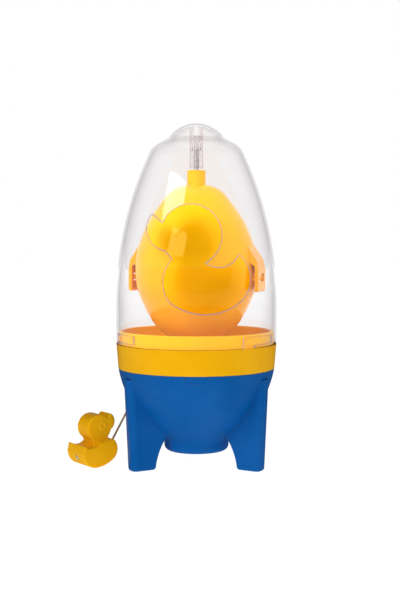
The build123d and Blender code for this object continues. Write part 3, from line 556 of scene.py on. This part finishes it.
def duck_outline():
    """The duck window's outline, (x, z) in metres, facing -X, from its throat round by the bill."""
    points = [(-0.0122, 0.1162), (-0.0164, 0.1210)]
    points += arc_through(points[-1], (-0.0258, 0.1290), (-0.0235, 0.1399), 24)
    points.append((-0.0178, 0.1350))
    points += arc_through(points[-1], (0.0085, 0.1404), (0.0044, 0.1144), 64)
    points += arc_through(points[-1], (0.0146, 0.1119), (0.0227, 0.1184), 24)
    points += arc_through(points[-1], (0.0287, 0.1059), (0.0225, 0.0932), 28)
    points += arc_through(points[-1], (0.0036, 0.0876), (-0.0139, 0.0940), 40)
    points += arc_through(points[-1], (-0.0173, 0.1040), points[0], 24)[:-1]
    return points


def duck_cutter():
    """A prism of the duck's outline that widens where it leaves the cover's outer face."""
    outline = duck_outline()
    following = outline[1:] + outline[:1]
    area = sum(a[0] * b[1] - b[0] * a[1] for a, b in zip(outline, following))
    outward = math.copysign(WINDOW_EASE, area)
    layers = [[], [], [], []]
    for index, (x, z) in enumerate(outline):
        along = (Vector(following[index]) - Vector(outline[index - 1])).normalized()
        wide_x = x + along.y * outward
        wide_z = z - along.x * outward
        face_y = -math.sqrt(side_radius(max(z, SIDE_START_Z)) ** 2 - x**2)
        layers[0].append((x, WINDOW_BACK_Y, z))
        layers[1].append((x, face_y + WINDOW_EASE_DEPTH, z))
        layers[2].append((wide_x, face_y - WINDOW_PAST_FACE, wide_z))
        layers[3].append((wide_x, WINDOW_FRONT_Y, wide_z))
    made = prism("duck_cutter", layers)
    made.data.materials.append(shaded_cut_face)
    return made


def smooth_except_corners(thing):
    """Shade the faces smooth, with the edges that turn by the sharp angle or more kept sharp."""
    form = bmesh.new()
    form.from_mesh(thing.data)
    for face in form.faces:
        face.smooth = True
    for edge in form.edges:
        edge.smooth = edge.calc_face_angle(0.0) < math.radians(SHARP_ANGLE)
    form.to_mesh(thing.data)
    form.free()


cover = cover_shell()
combine(cover, rod("cover_boss", BOSS_R, BOSS_LOW_Z, BOSS_TOP_Z), "UNION")
combine(cover, web_plate(), "UNION")
combine(cover, rod("cover_bore", BORE_R, BORE_LOW_Z, BORE_TOP_Z), "DIFFERENCE")
combine(cover, groove_cutter(), "DIFFERENCE")
combine(cover, duck_cutter(), "DIFFERENCE")
smooth_except_corners(cover)
cover.visible_shadow = False
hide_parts("clear_cover")
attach(cover, "cover")


# ---------------------------------------------------------------- cord

CORD_DIAMETER = 0.0013
CORD_SIDES = 12
cord_points = [
    (-0.03064, 0.01841, 0.04080),
    (-0.03513, 0.02111, 0.03766),
    (-0.03825, 0.01725, 0.03164),
    (-0.04606, 0.00763, 0.01662),
    (-0.04918, 0.00377, 0.01060),
    (-0.06479, -0.00757, 0.00582),
]


def smooth_line(name, points):
    """An open NURBS curve with these control points, with no thickness."""
    curve = bpy.data.curves.new(name, "CURVE")
    curve.dimensions = "3D"
    curve.resolution_u = 24
    spline = curve.splines.new("NURBS")
    spline.points.add(len(points) - 1)
    for point, place in zip(spline.points, points):
        point.co = (*place, 1.0)
    spline.order_u = 3
    spline.use_endpoint_u = True
    return bpy.data.objects.new(name, curve)


def line_points(curve_object):
    """The points along a curve that has no bevel, which is then removed."""
    scene.collection.objects.link(curve_object)
    bpy.context.view_layer.update()
    depsgraph = bpy.context.evaluated_depsgraph_get()
    mesh = bpy.data.meshes.new_from_object(curve_object.evaluated_get(depsgraph))
    points = [vertex.co.copy() for vertex in mesh.vertices]
    bpy.data.meshes.remove(mesh)
    bpy.data.objects.remove(curve_object)
    return points


def tube(name, path, radius, sides):
    """A smooth mesh tube round the path, with closed ends."""
    layers = []
    side = Vector((0, 0, 1))
    for index, point in enumerate(path):
        ahead = path[min(index + 1, len(path) - 1)]
        behind = path[max(index - 1, 0)]
        along = (ahead - behind).normalized()
        side = (side - along * side.dot(along)).normalized()
        up = along.cross(side)
        layers.append([point + radius * (math.cos(t) * side + math.sin(t) * up) for t in full_turn(sides)])
    made = prism(name, layers)
    made.data.polygons.foreach_set("use_smooth", [True] * len(made.data.polygons))
    return made


cord_line = line_points(smooth_line("cord_route", cord_points))
cord = tube("cord", cord_line, CORD_DIAMETER / 2, CORD_SIDES)
cord.data.materials.append(cord_braid)
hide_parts("pull_cord")
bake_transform(cord)


# ---------------------------------------------------------------- studio

UPRIGHT = math.radians(90)


def studio_material(name, grey, roughness, glow=0.0):
    """A plain grey, which may also shine white of itself."""
    made = NodeMaterial(name)
    made.feed(made.shader, {
        "Base Color": opaque((grey, grey, grey)),
        "Roughness": roughness,
        "Emission Color": opaque(WHITE),
        "Emission Strength": glow,
    })
    return made.material


def hide_from(thing, *kinds_of_ray):
    """Leave the thing out of what these kinds of ray see."""
    for kind in kinds_of_ray:
        setattr(thing, "visible_" + kind, False)


def sheet_at(name, material, size, location, rotation=(0, 0, 0)):
    """A flat sheet of the studio."""
    mesh = bpy.data.meshes.new(name)
    half_x, half_y = size[0] / 2, size[1] / 2
    corners = [(-half_x, -half_y, 0), (half_x, -half_y, 0), (half_x, half_y, 0), (-half_x, half_y, 0)]
    mesh.from_pydata(corners, [], [(0, 1, 2, 3)])
    mesh.materials.append(material)
    sheet = bpy.data.objects.new(name, mesh)
    sheet.location = location
    sheet.rotation_euler = rotation
    scene.collection.objects.link(sheet)
    return sheet


def softbox(name, location, target, size, power):
    """A rectangular lamp that faces its target."""
    data = bpy.data.lights.new(name, "AREA")
    data.shape = "RECTANGLE"
    data.size, data.size_y = size
    data.energy = power
    lamp = bpy.data.objects.new(name, data)
    lamp.location = location
    lamp.rotation_euler = (Vector(target) - Vector(location)).to_track_quat("-Z", "Y").to_euler()
    scene.collection.objects.link(lamp)
    return lamp


floor_paper = studio_material("floor_paper", 0.22, 0.8, glow=0.96)
floor = sheet_at("floor", floor_paper, (12, 12), (0, 0, -0.0002))
hide_from(floor, "glossy")

# dark cloths round the set, which tone the front and the cover's reflections
flag_cloth = studio_material("flag_cloth", 0.03, 1.0)
for flag in (
    sheet_at("flag_front", flag_cloth, (2.6, 1.8), (0.0, -1.0, 0.45), (UPRIGHT, 0, 0)),
    sheet_at("flag_top", flag_cloth, (2.3, 3.6), (0.0, 0.75, 1.30)),
    sheet_at("flag_low", flag_cloth, (8, 8), (0.0, 0.0, -0.02)),
    sheet_at("flag_left", flag_cloth, (3.6, 1.8), (-1.15, 0.75, 0.45), (UPRIGHT, 0, UPRIGHT)),
    sheet_at("flag_right", flag_cloth, (3.6, 1.8), (1.15, 0.75, 0.45), (UPRIGHT, 0, UPRIGHT)),
):
    hide_from(flag, "camera", "transmission")

# a dim card far behind, seen only in reflections, which keeps the cover's edges soft
card_grey = studio_material("card_grey", 0.0, 1.0, glow=0.5)
card = sheet_at("card_back", card_grey, (3.0, 2.6), (0.0, 2.5, 0.45), (UPRIGHT, 0, 0))
hide_from(card, "camera", "transmission", "diffuse", "shadow")

softbox("key_left", (-0.54, -0.60, 0.60), (0, 0, 0.10), (0.52, 0.44), 3.4)
fill = softbox("fill_right", (0.83, 0.24, 0.62), (0, 0, 0.12), (0.40, 0.50), 3.0)
softbox("top", (0.0, 0.1, 1.0), (0, 0, 0.05), (0.6, 0.6), 0.4)
front = softbox("front", (0.15, -0.90, 0.30), (0, 0, 0.08), (0.60, 0.40), 2.2)
for lamp in (fill, front):
    hide_from(lamp, "glossy", "transmission")

world = bpy.data.worlds.new("studio")
world.use_nodes = True
background = world.node_tree.nodes["Background"]
background.inputs["Color"].default_value = opaque(WHITE)
background.inputs["Strength"].default_value = 1.0
scene.world = world
